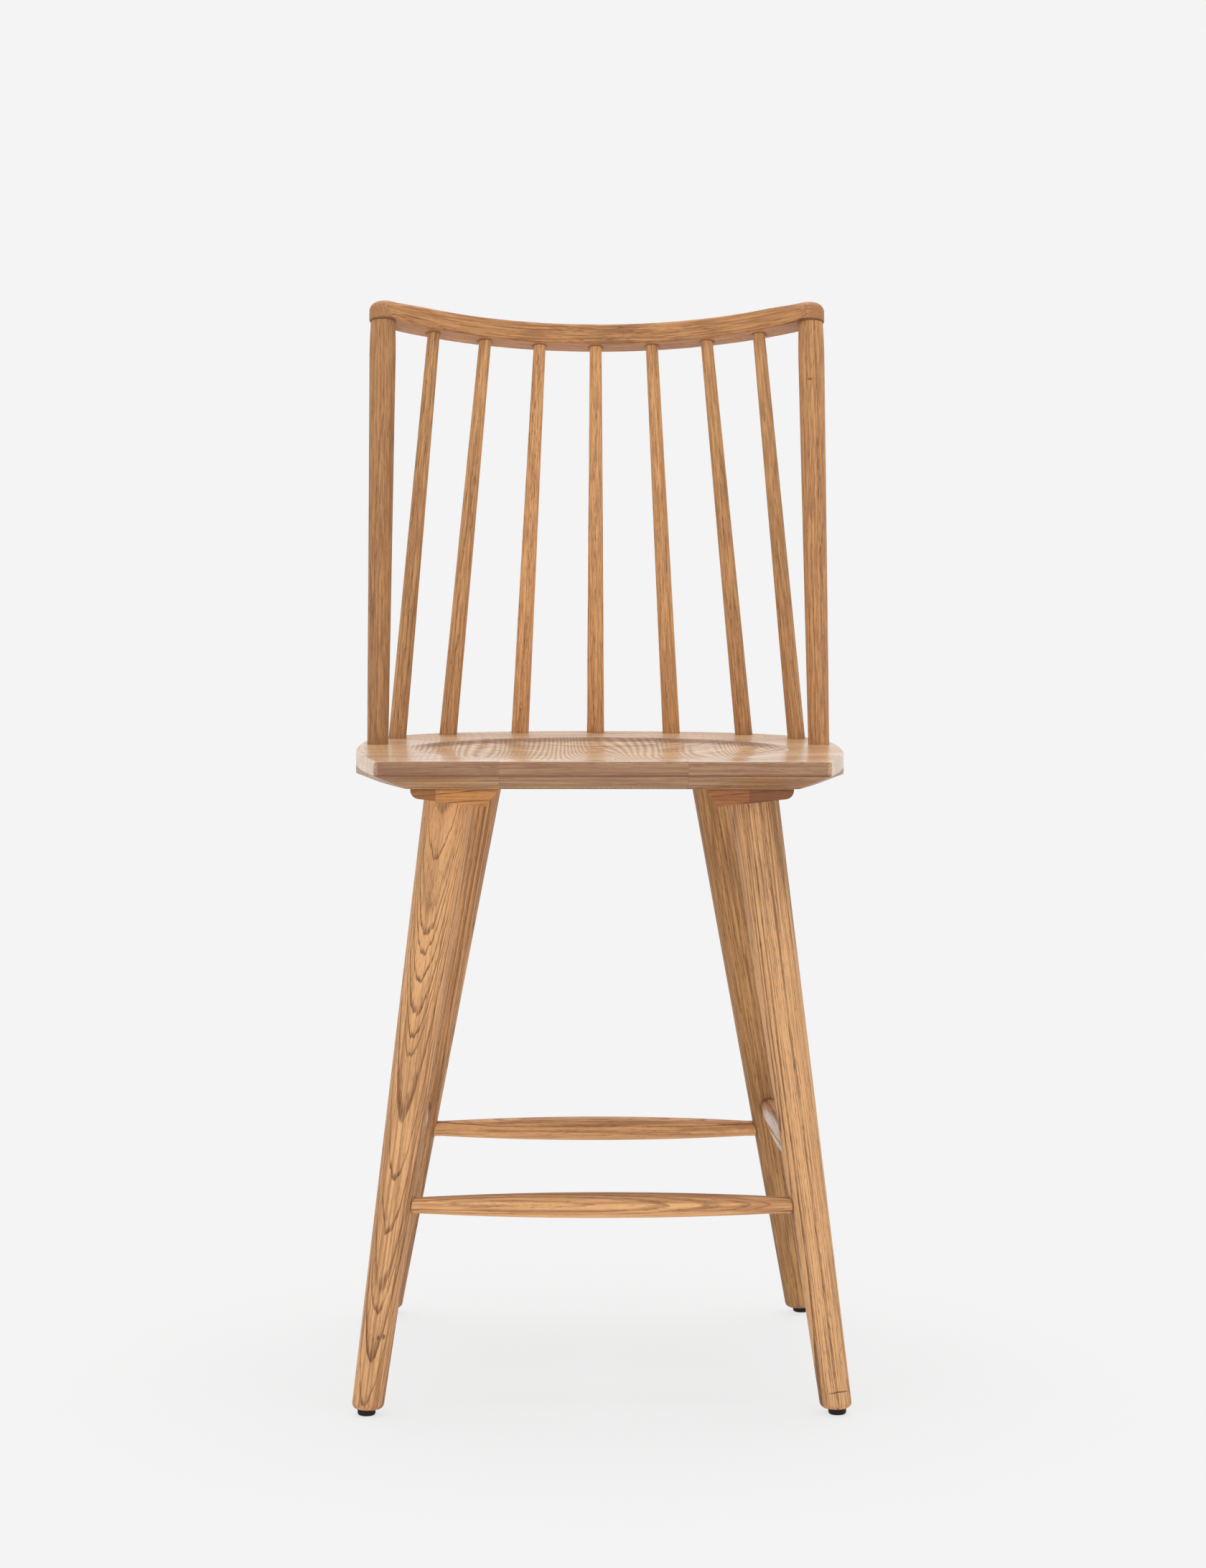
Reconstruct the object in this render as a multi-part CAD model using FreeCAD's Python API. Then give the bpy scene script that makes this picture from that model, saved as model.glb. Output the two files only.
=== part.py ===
import FreeCAD, Part
import math
import os

# Counter stool: dished oak seat, spindle back under a bent crest rail, four splayed turned legs.
# Millimetres. The stool is drawn with x to the right seen from the front, y back from the seat's
# front edge and z up from the floor. At the end it is moved to stand on the origin.

# Seat
seat_height = 612.0
seat_thickness = 27.5
seat_depth = 430.0
seat_front_half = 214.0        # half the width along the front edge
seat_half = 238.0              # half the width at the widest place
seat_widest_y = 195.0
seat_corner_radius = 160.0     # back corners
seat_back_radius = 500.0
front_corner_radius = 5.0
edge_easing = 3.0
bevel_height = 14.0            # under-bevel at the front corners
front_bevel_inset = 22.0       # along the front edge
side_bevel_inset = 38.0        # at the front corners
side_bevel_end_y = 230.0       # where the side bevels run out
side_bevel_bow = 7.8           # rise of their curved lower edge over its chord

# Dish carved in the seat
dish_depth = 9.0
dish_half_width = 185.0
dish_half_length = 157.0
dish_middle_y = 175.0
dish_deepening = 0.6           # share by which it is deeper at the back and shallower at the front
dish_steps = 16                # points each way on the carved surface
dish_overrun = 1.15            # how far that surface is drawn, in the dish's own half sizes

# Back: spindles and posts stand in the rim and carry the crest rail
spindles_each_side = 3
spindle_inset = 20.0           # from the seat's edge
spindle_base_pitch = 78.5      # along the rim
spindle_top_pitch = 58.4       # along the crest rail
spindle_base_radius = 8.9
spindle_middle_radius = 7.7
spindle_top_radius = 6.2
post_inset = 18.0
post_base_gap = 84.0           # along the rim, from the last spindle
post_base_radius = 10.5
post_swell_radius = 13.3
post_top_radius = 12.3
post_swell_drop = 34.0         # below the crest rail
post_fullness = 0.75           # share of the swell that is left halfway to the rail
post_top_inset = 20.5          # from the seat's widest place
post_top_setback = 59.2        # from the seat's back edge
back_height = 419.7            # from the seat to the crest rail
post_tenon_radius = 8.0
rim_mortise = 15.0             # depth of the holes in the seat's rim
crest_socket = 11.0            # depth of the holes in the crest rail

# Crest rail
crest_bow = 84.0               # of its middle line, between the posts
crest_height = 21.0
crest_width = 32.0             # front to back
crest_tilt = 16.0              # degrees, back edge down
crest_overhang = 13.3          # past the posts' axes
crest_easing = 3.0
crest_end_easing = 9.0         # upper edge round the ends
crest_taper = 40.0             # run over which the upper edges grow rounder

# Legs: axis at the seat's underside and at the floor
front_head_inset = 94.5        # from the seat's widest place
front_head_setback = 78.0      # from the seat's front edge
front_splay = 77.5             # outwards, from the head to the foot
front_rake = 108.0             # forwards, from the head to the foot
rear_head_inset = 121.0
rear_head_setback = 103.0      # from the seat's back edge
rear_splay = 101.0
rear_rake = 104.0              # backwards
leg_head_radius = 24.0
leg_foot_radius = 14.8
leg_tenon_radius = 12.5
leg_tenon_in_seat = 14.0
leg_tenon_root = 55.0          # inside the leg, below the seat's underside
foot_easing = 5.5

# Stretchers
front_stretcher_z = 192.0
rear_stretcher_z = 200.5
side_stretcher_z = 227.0
stretcher_end_radius = 7.8
stretcher_middle_radius = 12.2
stretcher_straight = 24.0      # straight round end, part of it inside the leg
stretcher_tip_gap = 2.0        # from the tip to the leg's axis

# Cleats: a block under the seat at the head of each leg
cleat_width = 83.0
cleat_reach = 46.0             # to the front and to the back of the leg's head
cleat_shift = 4.0              # inwards from the leg's head
cleat_outer_thickness = 9.5
cleat_inner_thickness = 17.5
cleat_inner_lip = 2.0
cleat_chamfer = 12.0
cleat_outer_radius = 8.5

# Screws that hold each cleat to the seat, before and behind the leg
cleat_screw_reach = 35.0       # from the leg's head
cleat_screw_radius = 2.2
cleat_screw_head_radius = 4.2
cleat_screw_head = 3.0
cleat_screw_bite = 13.0        # into the seat
cleat_web = 7.0                # wood left between the head and the seat

# Glides under the feet
glide_radius = 8.5
glide_flat_radius = 7.0
glide_height = 5.5
glide_dome = 2.0
glide_bulge = 0.12             # rise of the rounded rim over its chord
glide_screw_radius = 1.6
glide_screw_head_radius = 2.9
glide_screw_head = 1.6
glide_screw_bite = 15.0        # into the leg
glide_web = 2.7                # plastic left above the head

# Clearances
glue_gap = 0.1                 # round every tenon
screw_gap = 0.05               # round every screw
head_gap = 0.3                 # round every screw's head

vec = FreeCAD.Vector
up = vec(0, 0, 1)
seat_bottom = seat_height - seat_thickness
beyond = seat_height           # longer than any cut needs

# Seat outline: a front line, then side, corner and back arcs that meet smoothly
side_offset = seat_half - seat_front_half
side_radius = (seat_widest_y ** 2 + side_offset ** 2) / (2 * side_offset)
side_center = vec(seat_half - side_radius, seat_widest_y, 0)
back_center = vec(0, seat_depth - seat_back_radius, 0)


def circles_meet(first, first_radius, second, second_radius):
    """Point to the right where two circles in the plan cross."""
    line = second - first
    distance = line.Length
    along = (first_radius ** 2 - second_radius ** 2 + distance ** 2) / (2 * distance)
    aside = math.sqrt(first_radius ** 2 - along ** 2)
    direction = line / distance
    across = vec(-direction.y, direction.x, 0)
    return max(first + direction * along + across * aside,
               first + direction * along - across * aside, key=lambda point: point.y)


corner_center = circles_meet(side_center, side_radius - seat_corner_radius,
                             back_center, seat_back_radius - seat_corner_radius)


def bearing(line):
    """Angle of a line in the plan, from straight back towards the right."""
    return math.atan2(line.x, line.y)


back_turn = bearing(corner_center - back_center)
corner_turn = bearing(corner_center - side_center)


def on_arc(center, radius, turn):
    return center + vec(math.sin(turn), math.cos(turn), 0) * radius


def mirrored(point):
    return vec(-point.x, point.y, point.z)


def rim_point(distance, inset):
    """Point inside the seat's edge, at a distance along the spindles' line from the middle of the back."""
    back_run = (seat_back_radius - spindle_inset) * back_turn
    corner_run = (seat_corner_radius - spindle_inset) * (corner_turn - back_turn)
    if distance < back_run:
        center, radius = back_center, seat_back_radius
        turn = distance / (radius - spindle_inset)
    elif distance < back_run + corner_run:
        center, radius = corner_center, seat_corner_radius
        turn = back_turn + (distance - back_run) / (radius - spindle_inset)
    else:
        center, radius = side_center, side_radius
        turn = corner_turn + (distance - back_run - corner_run) / (radius - spindle_inset)
    return on_arc(center, radius - inset, turn) + up * seat_height


def seat_outline():
    """Closed outline of the seat at its underside."""
    front_turn = math.pi / 2 + math.asin(seat_widest_y / side_radius)
    front = on_arc(side_center, side_radius, front_turn)
    side = on_arc(side_center, side_radius, (front_turn + corner_turn) / 2)
    shoulder = on_arc(side_center, side_radius, corner_turn)
    corner = on_arc(corner_center, seat_corner_radius, (corner_turn + back_turn) / 2)
    hip = on_arc(back_center, seat_back_radius, back_turn)
    tail = on_arc(back_center, seat_back_radius, 0)
    edges = [Part.LineSegment(mirrored(front), front),
             Part.Arc(front, side, shoulder),
             Part.Arc(shoulder, corner, hip),
             Part.Arc(hip, tail, mirrored(hip)),
             Part.Arc(mirrored(hip), mirrored(corner), mirrored(shoulder)),
             Part.Arc(mirrored(shoulder), mirrored(side), mirrored(front))]
    wire = Part.Wire([edge.toShape() for edge in edges])
    wire.translate(up * seat_bottom)
    return wire


# Solids that repeat
def rod(radius, tip, far):
    """Plain round bar between two points."""
    return Part.makeCylinder(radius, (far - tip).Length, tip, far - tip)


def turned(outline, start, end):
    """Solid of revolution: edges of half its profile, as (radius, 0, height), stood on start towards end."""
    length = (end - start).Length
    first = outline[0].valueAt(outline[0].FirstParameter)
    last = outline[-1].valueAt(outline[-1].LastParameter)
    closing = [Part.makeLine(vec(0, 0, 0), first), Part.makeLine(last, vec(0, 0, length)),
               Part.makeLine(vec(0, 0, length), vec(0, 0, 0))]
    profile = Part.Face(Part.Wire([closing[0]] + outline + closing[1:]))
    solid = profile.revolve(vec(0, 0, 0), up, 360)
    solid.Placement = FreeCAD.Placement(start, FreeCAD.Rotation(up, end - start))
    return solid


def half_space(point, normal):
    """Large block whose top face lies on a plane."""
    block = Part.makeBox(2 * beyond, 2 * beyond, 2 * beyond, vec(-beyond, -beyond, -2 * beyond))
    block.Placement = FreeCAD.Placement(point, FreeCAD.Rotation(up, normal))
    return block


def edge_at(shape, point):
    """Edge that passes through a point."""
    return min(shape.Edges, key=lambda edge: edge.distToShape(Part.Vertex(point))[0])


def at_height(bottom, top, z):
    """Point of a line at a height."""
    return bottom + (top - bottom) * ((z - bottom.z) / (top.z - bottom.z))


# Crest rail: a band along an arc, lying in a plane that tilts back
post_top_half = seat_half - post_top_inset
crest_radius = (post_top_half ** 2 + crest_bow ** 2) / (2 * crest_bow)
crest_place = FreeCAD.Placement(vec(0, seat_depth - post_top_setback, seat_height + back_height),
                                FreeCAD.Rotation(vec(1, 0, 0), -crest_tilt))
crest_up = crest_place.Rotation.multVec(up)
crest_center = vec(0, crest_bow - crest_radius, 0)
crest_turn = math.asin(post_top_half / crest_radius)


def crest_point(distance):
    """Point on the rail's underside, at a distance along its middle line."""
    return crest_place.multVec(on_arc(crest_center, crest_radius, distance / crest_radius))


def crest_length(first, last, first_easing, last_easing):
    """Length of the rail between two turns. Its upper edges go from one easing to the other."""
    turns = (first, (first + last) / 2, last)
    inner = [on_arc(crest_center, crest_radius - crest_width / 2, turn) for turn in turns]
    outer = [on_arc(crest_center, crest_radius + crest_width / 2, turn) for turn in reversed(turns)]
    edges = [Part.Arc(*inner), Part.LineSegment(inner[-1], outer[0]),
             Part.Arc(*outer), Part.LineSegment(outer[-1], inner[0])]
    rise = up * crest_height
    bar = Part.Face(Part.Wire([edge.toShape() for edge in edges])).extrude(rise)
    bar = bar.makeFillet(first_easing, last_easing, [edge_at(bar, inner[1] + rise)])
    bar = bar.makeFillet(last_easing, first_easing, [edge_at(bar, outer[1] + rise)])
    return bar.makeFillet(crest_easing, [edge_at(bar, inner[1]), edge_at(bar, outer[1])])


def make_crest_end(turn):
    """Round end of the rail, rounded over at the top."""
    end = Part.makeCylinder(crest_width / 2, crest_height, on_arc(crest_center, crest_radius, turn))
    upper = [edge for edge in end.Edges if edge.BoundBox.ZMin > crest_height / 2]
    end = end.makeFillet(crest_end_easing, upper)
    lower = [edge for edge in end.Edges if edge.BoundBox.ZMax < crest_easing]
    return end.makeFillet(crest_easing, lower)


def make_crest():
    end_turn = crest_turn - (crest_width / 2 - crest_overhang) / crest_radius
    taper_turn = end_turn - crest_taper / crest_radius
    middle = crest_length(-taper_turn, taper_turn, crest_easing, crest_easing)
    ends = []
    for side in (-1, 1):
        ends.append(crest_length(side * taper_turn, side * end_turn, crest_easing, crest_end_easing))
        ends.append(make_crest_end(side * end_turn))
    rail = middle.fuse(ends).removeSplitter()
    rail.Placement = crest_place
    return rail


# Spindles, numbered from left to right
class Stick:
    """Round piece of the back, between its hole in the seat and its hole in the crest rail."""

    def __init__(self, base, top):
        self.along = (top - base).normalize()
        self.base = base
        self.top = top
        self.base_tip = base - self.along * rim_mortise
        self.top_tip = top + self.along * crest_socket
        self.length = (self.top_tip - self.base_tip).Length

    def mortise(self, radius):
        return rod(radius + glue_gap, self.base_tip, self.base + self.along * rim_mortise)

    def socket(self, radius):
        return rod(radius + glue_gap, self.top - self.along * crest_socket, self.top_tip)


def spindle_stick(place):
    side = 1 if place >= 0 else -1
    base = rim_point(abs(place) * spindle_base_pitch, spindle_inset)
    return Stick(vec(side * base.x, base.y, base.z), crest_point(place * spindle_top_pitch))


def post_stick(side):
    base = rim_point(spindles_each_side * spindle_base_pitch + post_base_gap, post_inset)
    top = crest_place.multVec(vec(side * post_top_half, 0, 0))
    return Stick(vec(side * base.x, base.y, base.z), top)


def make_spindle(stick):
    base = vec(spindle_base_radius, 0, 0)
    swell = vec(spindle_base_radius, 0, rim_mortise)
    middle = vec(spindle_middle_radius, 0, stick.length / 2)
    neck = vec(spindle_top_radius, 0, stick.length - crest_socket)
    top = vec(spindle_top_radius, 0, stick.length)
    outline = [Part.makeLine(base, swell), Part.Arc(swell, middle, neck).toShape(), Part.makeLine(neck, top)]
    return turned(outline, stick.base_tip, stick.top_tip)


def make_post(stick):
    shoulder = stick.length - crest_socket
    over = crest_width              # the body is drawn through the rail and cut off at its underside
    base = vec(post_base_radius, 0, 0)
    rim = vec(post_base_radius, 0, rim_mortise)
    swell = vec(post_swell_radius, 0, shoulder - post_swell_drop)
    eased = post_top_radius + (post_swell_radius - post_top_radius) * post_fullness
    easing = vec(eased, 0, shoulder - post_swell_drop / 2)
    neck = vec(post_top_radius, 0, shoulder)
    top = vec(post_top_radius, 0, shoulder + over)
    outline = [Part.makeLine(base, rim), Part.makeLine(rim, swell),
               Part.Arc(swell, easing, neck).toShape(), Part.makeLine(neck, top)]
    body = turned(outline, stick.base_tip, stick.base_tip + stick.along * (shoulder + over))
    body = body.common(half_space(stick.top, crest_up))
    tenon = rod(post_tenon_radius, stick.top - stick.along * crest_socket, stick.top_tip)
    return body.fuse(tenon).removeSplitter()


spindles = [spindle_stick(place) for place in range(-spindles_each_side, spindles_each_side + 1)]
posts = {"left": post_stick(-1), "right": post_stick(1)}


# Legs
class Leg:
    """Axis of one leg, from the floor to the seat's underside."""

    def __init__(self, side, head_x, head_y, splay, rake):
        self.head = vec(side * head_x, head_y, seat_bottom)
        self.foot = vec(side * (head_x + splay), head_y + rake, 0)
        self.along = (self.head - self.foot).normalize()
        self.root = self.head - self.along * leg_tenon_root
        self.tip = self.head + self.along * leg_tenon_in_seat

    def at(self, z):
        return at_height(self.foot, self.head, z)

    def mortise(self):
        return rod(leg_tenon_radius + glue_gap, self.root, self.tip)


sides = {"left": -1, "right": 1}
legs = {}
for side_name, side in sides.items():
    legs["front_" + side_name] = Leg(side, seat_half - front_head_inset, front_head_setback,
                                     front_splay, -front_rake)
    legs["rear_" + side_name] = Leg(side, seat_half - rear_head_inset, seat_depth - rear_head_setback,
                                    rear_splay, rear_rake)


# Stretchers: round ends in blind holes in the legs
class Stretcher:
    def __init__(self, first, second, z):
        start = legs[first].at(z)
        end = legs[second].at(z)
        self.along = (end - start).normalize()
        self.start = start + self.along * stretcher_tip_gap
        self.end = end - self.along * stretcher_tip_gap
        self.joins = {first: (self.start, self.along), second: (self.end, -self.along)}

    def hole(self, leg_name):
        tip, out = self.joins[leg_name]
        return rod(stretcher_end_radius + glue_gap, tip, tip + out * leg_head_radius * 2)


stretchers = {"front": Stretcher("front_left", "front_right", front_stretcher_z),
              "rear": Stretcher("rear_left", "rear_right", rear_stretcher_z),
              "left": Stretcher("front_left", "rear_left", side_stretcher_z),
              "right": Stretcher("front_right", "rear_right", side_stretcher_z)}


def make_stretcher(stretcher):
    length = (stretcher.end - stretcher.start).Length
    start = vec(stretcher_end_radius, 0, 0)
    first = vec(stretcher_end_radius, 0, stretcher_straight)
    middle = vec(stretcher_middle_radius, 0, length / 2)
    second = vec(stretcher_end_radius, 0, length - stretcher_straight)
    end = vec(stretcher_end_radius, 0, length)
    outline = [Part.makeLine(start, first), Part.Arc(first, middle, second).toShape(),
               Part.makeLine(second, end)]
    return turned(outline, stretcher.start, stretcher.end)


# Cleats: their ends are cut to a profile across the stool, rounded outside and chamfered inside
class Cleat:
    def __init__(self, side, leg):
        self.leg = leg
        self.middle = leg.head - vec(side * cleat_shift, 0, 0)
        self.out = vec(side, 0, 0)
        self.inner_edge = self.section(cleat_chamfer - cleat_width / 2, -cleat_inner_thickness)
        self.outer_edge = self.section(cleat_width / 2, -cleat_outer_thickness)
        fall = self.outer_edge - self.inner_edge
        self.slope = vec(-fall.z * side, 0, fall.x * side)

    def section(self, across, height):
        return self.middle + self.out * across + up * height

    def screw_heads(self):
        reach = vec(0, cleat_screw_reach, 0)
        return [self.leg.head + reach - up * cleat_web, self.leg.head - reach - up * cleat_web]


cleats = {leg_name: Cleat(sides[leg_name.split("_")[1]], leg) for leg_name, leg in legs.items()}


def make_cleat(cleat):
    half = cleat_width / 2
    corners = [cleat.section(-half, 0), cleat.section(half, 0), cleat.outer_edge, cleat.inner_edge,
               cleat.section(-half, -cleat_inner_lip)]
    block = Part.Face(Part.makePolygon(corners + corners[:1])).extrude(vec(0, 2 * cleat_reach, 0))
    rounded = edge_at(block, cleat.outer_edge + vec(0, cleat_reach, 0))
    block = block.makeFillet(cleat_outer_radius, [rounded])
    block.translate(vec(0, -cleat_reach, 0))
    cuts = [cleat.leg.mortise()]
    for head in cleat.screw_heads():
        cuts.append(rod(cleat_screw_radius + screw_gap, head, head + up * beyond))
        cuts.append(rod(cleat_screw_head_radius + head_gap, head - up * cleat_inner_thickness, head))
    return block.cut(cuts)


def make_leg(name):
    leg = legs[name]
    cleat = cleats[name]
    length = (leg.head - leg.foot).Length
    body = Part.makeCone(leg_foot_radius, leg_head_radius, length, leg.foot, leg.along)
    body = body.cut(half_space(vec(0, 0, glide_height), up))
    body = body.common(half_space(cleat.inner_edge, cleat.slope))
    sole = [edge for edge in body.Edges if edge.BoundBox.ZMax < glide_height + foot_easing]
    body = body.makeFillet(foot_easing, sole)
    tenon = rod(leg_tenon_radius, leg.root, leg.tip)
    cuts = [stretcher.hole(name) for stretcher in stretchers.values() if name in stretcher.joins]
    screw_tip = leg.foot + up * (glide_height + glide_screw_bite)
    cuts.append(rod(glide_screw_radius + screw_gap, leg.foot, screw_tip))
    return body.fuse(tenon).removeSplitter().cut(cuts)


# Glides and screws
def make_glide(leg):
    flat = vec(glide_flat_radius, 0, 0)
    dome = vec(glide_radius, 0, glide_dome)
    top = vec(glide_radius, 0, glide_height)
    bulge = (flat + dome) / 2 + vec(glide_dome, 0, glide_flat_radius - glide_radius) * glide_bulge
    outline = [Part.Arc(flat, bulge, dome).toShape(), Part.makeLine(dome, top)]
    body = turned(outline, leg.foot, leg.foot + up * glide_height)
    bore = rod(glide_screw_radius + screw_gap, leg.foot, leg.foot + up * glide_height)
    recess = rod(glide_screw_head_radius + head_gap, leg.foot, leg.foot + up * (glide_height - glide_web))
    return body.cut([bore, recess])


def make_screw(head_seat, radius, length, head_radius, head):
    """Upright screw: its head hangs below its seat, its shank stands above it."""
    shank = rod(radius, head_seat - up * head, head_seat + up * length)
    return rod(head_radius, head_seat - up * head, head_seat).fuse(shank).removeSplitter()


def make_glide_screw(leg):
    seat = leg.foot + up * (glide_height - glide_web)
    return make_screw(seat, glide_screw_radius, glide_web + glide_screw_bite,
                      glide_screw_head_radius, glide_screw_head)


def make_cleat_screw(head):
    return make_screw(head, cleat_screw_radius, cleat_web + cleat_screw_bite,
                      cleat_screw_head_radius, cleat_screw_head)


# Seat: outline, eased edges, under-bevel, dish and holes
def make_dish():
    """Block above the carved surface, which rises out of the wood outside the dish."""
    span = [dish_overrun * (2 * step / dish_steps - 1) for step in range(dish_steps + 1)]
    rows = []
    for u in span:
        row = []
        for v in span:
            depth = dish_depth * (1 + dish_deepening * v) * (1 - (u * u + v * v) ** 2)
            row.append(vec(dish_half_width * u, dish_middle_y + dish_half_length * v, seat_height - depth))
        rows.append(row)
    surface = Part.BSplineSurface()
    surface.interpolate(rows)
    return surface.toShape().extrude(up * beyond)


def make_flank():
    """Flaring round that holds the seat: its lower edge is bowed and runs out along the right side."""
    end_x = side_center.x + math.sqrt(side_radius ** 2 - (side_bevel_end_y - side_center.y) ** 2)
    toe = vec(seat_front_half - side_bevel_inset, 0, seat_bottom)
    heel = vec(end_x, side_bevel_end_y, seat_bottom)
    chord = heel - toe
    bow = (toe + heel) / 2 + vec(chord.y, -chord.x, 0).normalize() * side_bevel_bow
    edge = Part.Arc(toe, bow, heel).toShape().Curve
    corner = vec(seat_front_half, 0, seat_bottom)
    flare = ((corner - edge.Center).Length - edge.Radius) / bevel_height
    low = edge.Radius - flare * bevel_height
    high = edge.Radius + flare * (seat_thickness + bevel_height)
    return Part.makeCone(low, high, seat_thickness + 2 * bevel_height, edge.Center - up * bevel_height)


def make_seat():
    blank = Part.Face(seat_outline()).extrude(up * seat_thickness)
    corners = [edge for edge in blank.Edges if edge.BoundBox.ZLength > seat_thickness / 2
               and edge.CenterOfMass.y < front_corner_radius]
    blank = blank.makeFillet(front_corner_radius, corners)
    rims = [edge for edge in blank.Edges if edge.BoundBox.ZLength < edge_easing]
    blank = blank.makeFillet(edge_easing, rims)
    flank = make_flank()
    blank = blank.common(flank).common(flank.mirror(vec(0, 0, 0), vec(1, 0, 0)))
    front = half_space(vec(0, 0, seat_bottom + bevel_height), vec(0, bevel_height, front_bevel_inset))
    cuts = [front, make_dish()]
    cuts += [spindle.mortise(spindle_base_radius) for spindle in spindles]
    cuts += [post.mortise(post_base_radius) for post in posts.values()]
    cuts += [leg.mortise() for leg in legs.values()]
    for cleat in cleats.values():
        cuts += [rod(cleat_screw_radius + screw_gap, head, head + up * (cleat_web + cleat_screw_bite))
                 for head in cleat.screw_heads()]
    return blank.cut(cuts)


# Every piece of the stool under its name
nodes = {"seat": make_seat()}
for leg_name, leg in legs.items():
    nodes["cleat_" + leg_name] = make_cleat(cleats[leg_name])
    nodes["leg_" + leg_name] = make_leg(leg_name)
    nodes["glide_" + leg_name] = make_glide(leg)
for place, stretcher in stretchers.items():
    nodes["stretcher_" + place] = make_stretcher(stretcher)
for side_name, post in posts.items():
    nodes["post_" + side_name] = make_post(post)
for number, spindle in enumerate(spindles, 1):
    nodes["spindle_" + str(number)] = make_spindle(spindle)
sockets = [spindle.socket(spindle_top_radius) for spindle in spindles]
sockets += [post.socket(post_tenon_radius) for post in posts.values()]
nodes["crest_rail"] = make_crest().cut(sockets)
nodes["glide_screws"] = Part.makeCompound([make_glide_screw(leg) for leg in legs.values()])
nodes["cleat_screws"] = Part.makeCompound([make_cleat_screw(head) for cleat in cleats.values()
                                           for head in cleat.screw_heads()])

# The origin is on the floor, under the middle of the stool
box = Part.makeCompound(list(nodes.values())).optimalBoundingBox(False, False)
os.makedirs("parts", exist_ok=True)
for name, shape in nodes.items():
    shape.translate(vec(0, -(box.YMin + box.YMax) / 2, 0))
    shape.exportStep("parts/" + name + ".step")
    print(name, len(shape.Solids), "solid", shape.isValid(), round(shape.Volume / 1000, 1), "cm3")
print("width", round(box.XLength, 1), "depth", round(box.YLength, 1), "height", round(box.ZMax, 1))
print("middle of the depth from the seat's front edge", round((box.YMin + box.YMax) / 2, 2))
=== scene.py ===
import math
import bpy
import numpy as np
from mathutils import Matrix, Vector


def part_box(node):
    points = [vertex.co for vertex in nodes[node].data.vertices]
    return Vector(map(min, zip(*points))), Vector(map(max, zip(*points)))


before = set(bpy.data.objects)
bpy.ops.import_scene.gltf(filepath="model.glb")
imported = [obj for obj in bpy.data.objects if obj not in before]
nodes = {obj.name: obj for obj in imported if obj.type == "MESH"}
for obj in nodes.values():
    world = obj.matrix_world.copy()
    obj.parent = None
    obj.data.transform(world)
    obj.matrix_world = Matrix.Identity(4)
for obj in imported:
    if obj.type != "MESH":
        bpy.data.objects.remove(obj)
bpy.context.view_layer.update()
scene = bpy.context.scene
scene.view_settings.view_transform = "Standard"
perMetre = 1000  # mm
print("frame loaded: %d nodes" % len(nodes))


# shader maths: a wire is one socket of a node tree, and expressions on wires add Math nodes
class Wire:
    def __init__(self, tree, socket=None):
        self.tree = tree
        self.socket = socket

    def node(self, kind, settings, values, out=0):
        made = self.tree.nodes.new(kind)
        for key, value in settings.items():
            setattr(made, key, value)
        for key, value in values.items():
            if isinstance(value, Wire):
                self.tree.links.new(value.socket, made.inputs[key])
            else:
                made.inputs[key].default_value = value
        return Wire(self.tree, made.outputs[out] if made.outputs else None)

    def maths(self, operation, *values):
        return self.node("ShaderNodeMath", {"operation": operation}, dict(enumerate(values)))

    def vectorMaths(self, operation, *values, out=0):
        return self.node("ShaderNodeVectorMath", {"operation": operation}, dict(enumerate(values)), out)

    def split(self):
        made = self.node("ShaderNodeSeparateXYZ", {}, {0: self})
        return [Wire(self.tree, socket) for socket in made.socket.node.outputs]

    def most(self, other):
        return self.maths("MAXIMUM", self, other)

    def least(self, other):
        return self.maths("MINIMUM", self, other)

    def whole(self):
        return self.maths("FLOOR", self)

    def fraction(self):
        return self.maths("FRACT", self)

    def length(self):
        return self.vectorMaths("LENGTH", self, out="Value")

    def __abs__(self):
        return self.maths("ABSOLUTE", self)

    def __add__(self, other):
        return self.maths("ADD", self, other)

    def __sub__(self, other):
        return self.maths("SUBTRACT", self, other)

    def __rsub__(self, other):
        return self.maths("SUBTRACT", other, self)

    def __mul__(self, other):
        return self.maths("MULTIPLY", self, other)

    def __truediv__(self, other):
        return self.maths("DIVIDE", self, other)

    def __pow__(self, other):
        return self.maths("POWER", self, other)

    __radd__ = __add__
    __rmul__ = __mul__


def join(x, y, z):
    return x.node("ShaderNodeCombineXYZ", {}, {0: x, 1: y, 2: z})


def objectPlace(wire):
    return wire.node("ShaderNodeTexCoord", {}, {}, "Object")


def mmPlace(wire, origin, turn):  # Object coordinates in mm from the origin, turned
    return wire.node("ShaderNodeMapping", {"vector_type": "TEXTURE"},
                     {"Vector": objectPlace(wire), "Location": origin, "Rotation": turn,
                      "Scale": (1 / perMetre,) * 3})


def ramp(value, low, high):  # smooth step from 0 at low to 1 at high
    return value.node("ShaderNodeMapRange", {"interpolation_type": "SMOOTHSTEP"},
                      {"Value": value, "From Min": low, "From Max": high})


def blend(factor, first, second):  # mix of two colours: sockets 6 and 7 hold them
    return factor.node("ShaderNodeMix", {"data_type": "RGBA"}, {0: factor, 6: first, 7: second}, 2)


def cloud(place, fine, detail, out="Fac"):  # noise, with its own scale each way
    scaled = place.vectorMaths("MULTIPLY", place, fine)
    return place.node("ShaderNodeTexNoise", {}, {"Vector": scaled, "Scale": 1.0, "Detail": detail}, out)


def chance(value):  # three random numbers that stay the same for one whole number
    return value.node("ShaderNodeTexWhiteNoise", {"noise_dimensions": "1D"}, {"W": value}, "Color").split()


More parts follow.
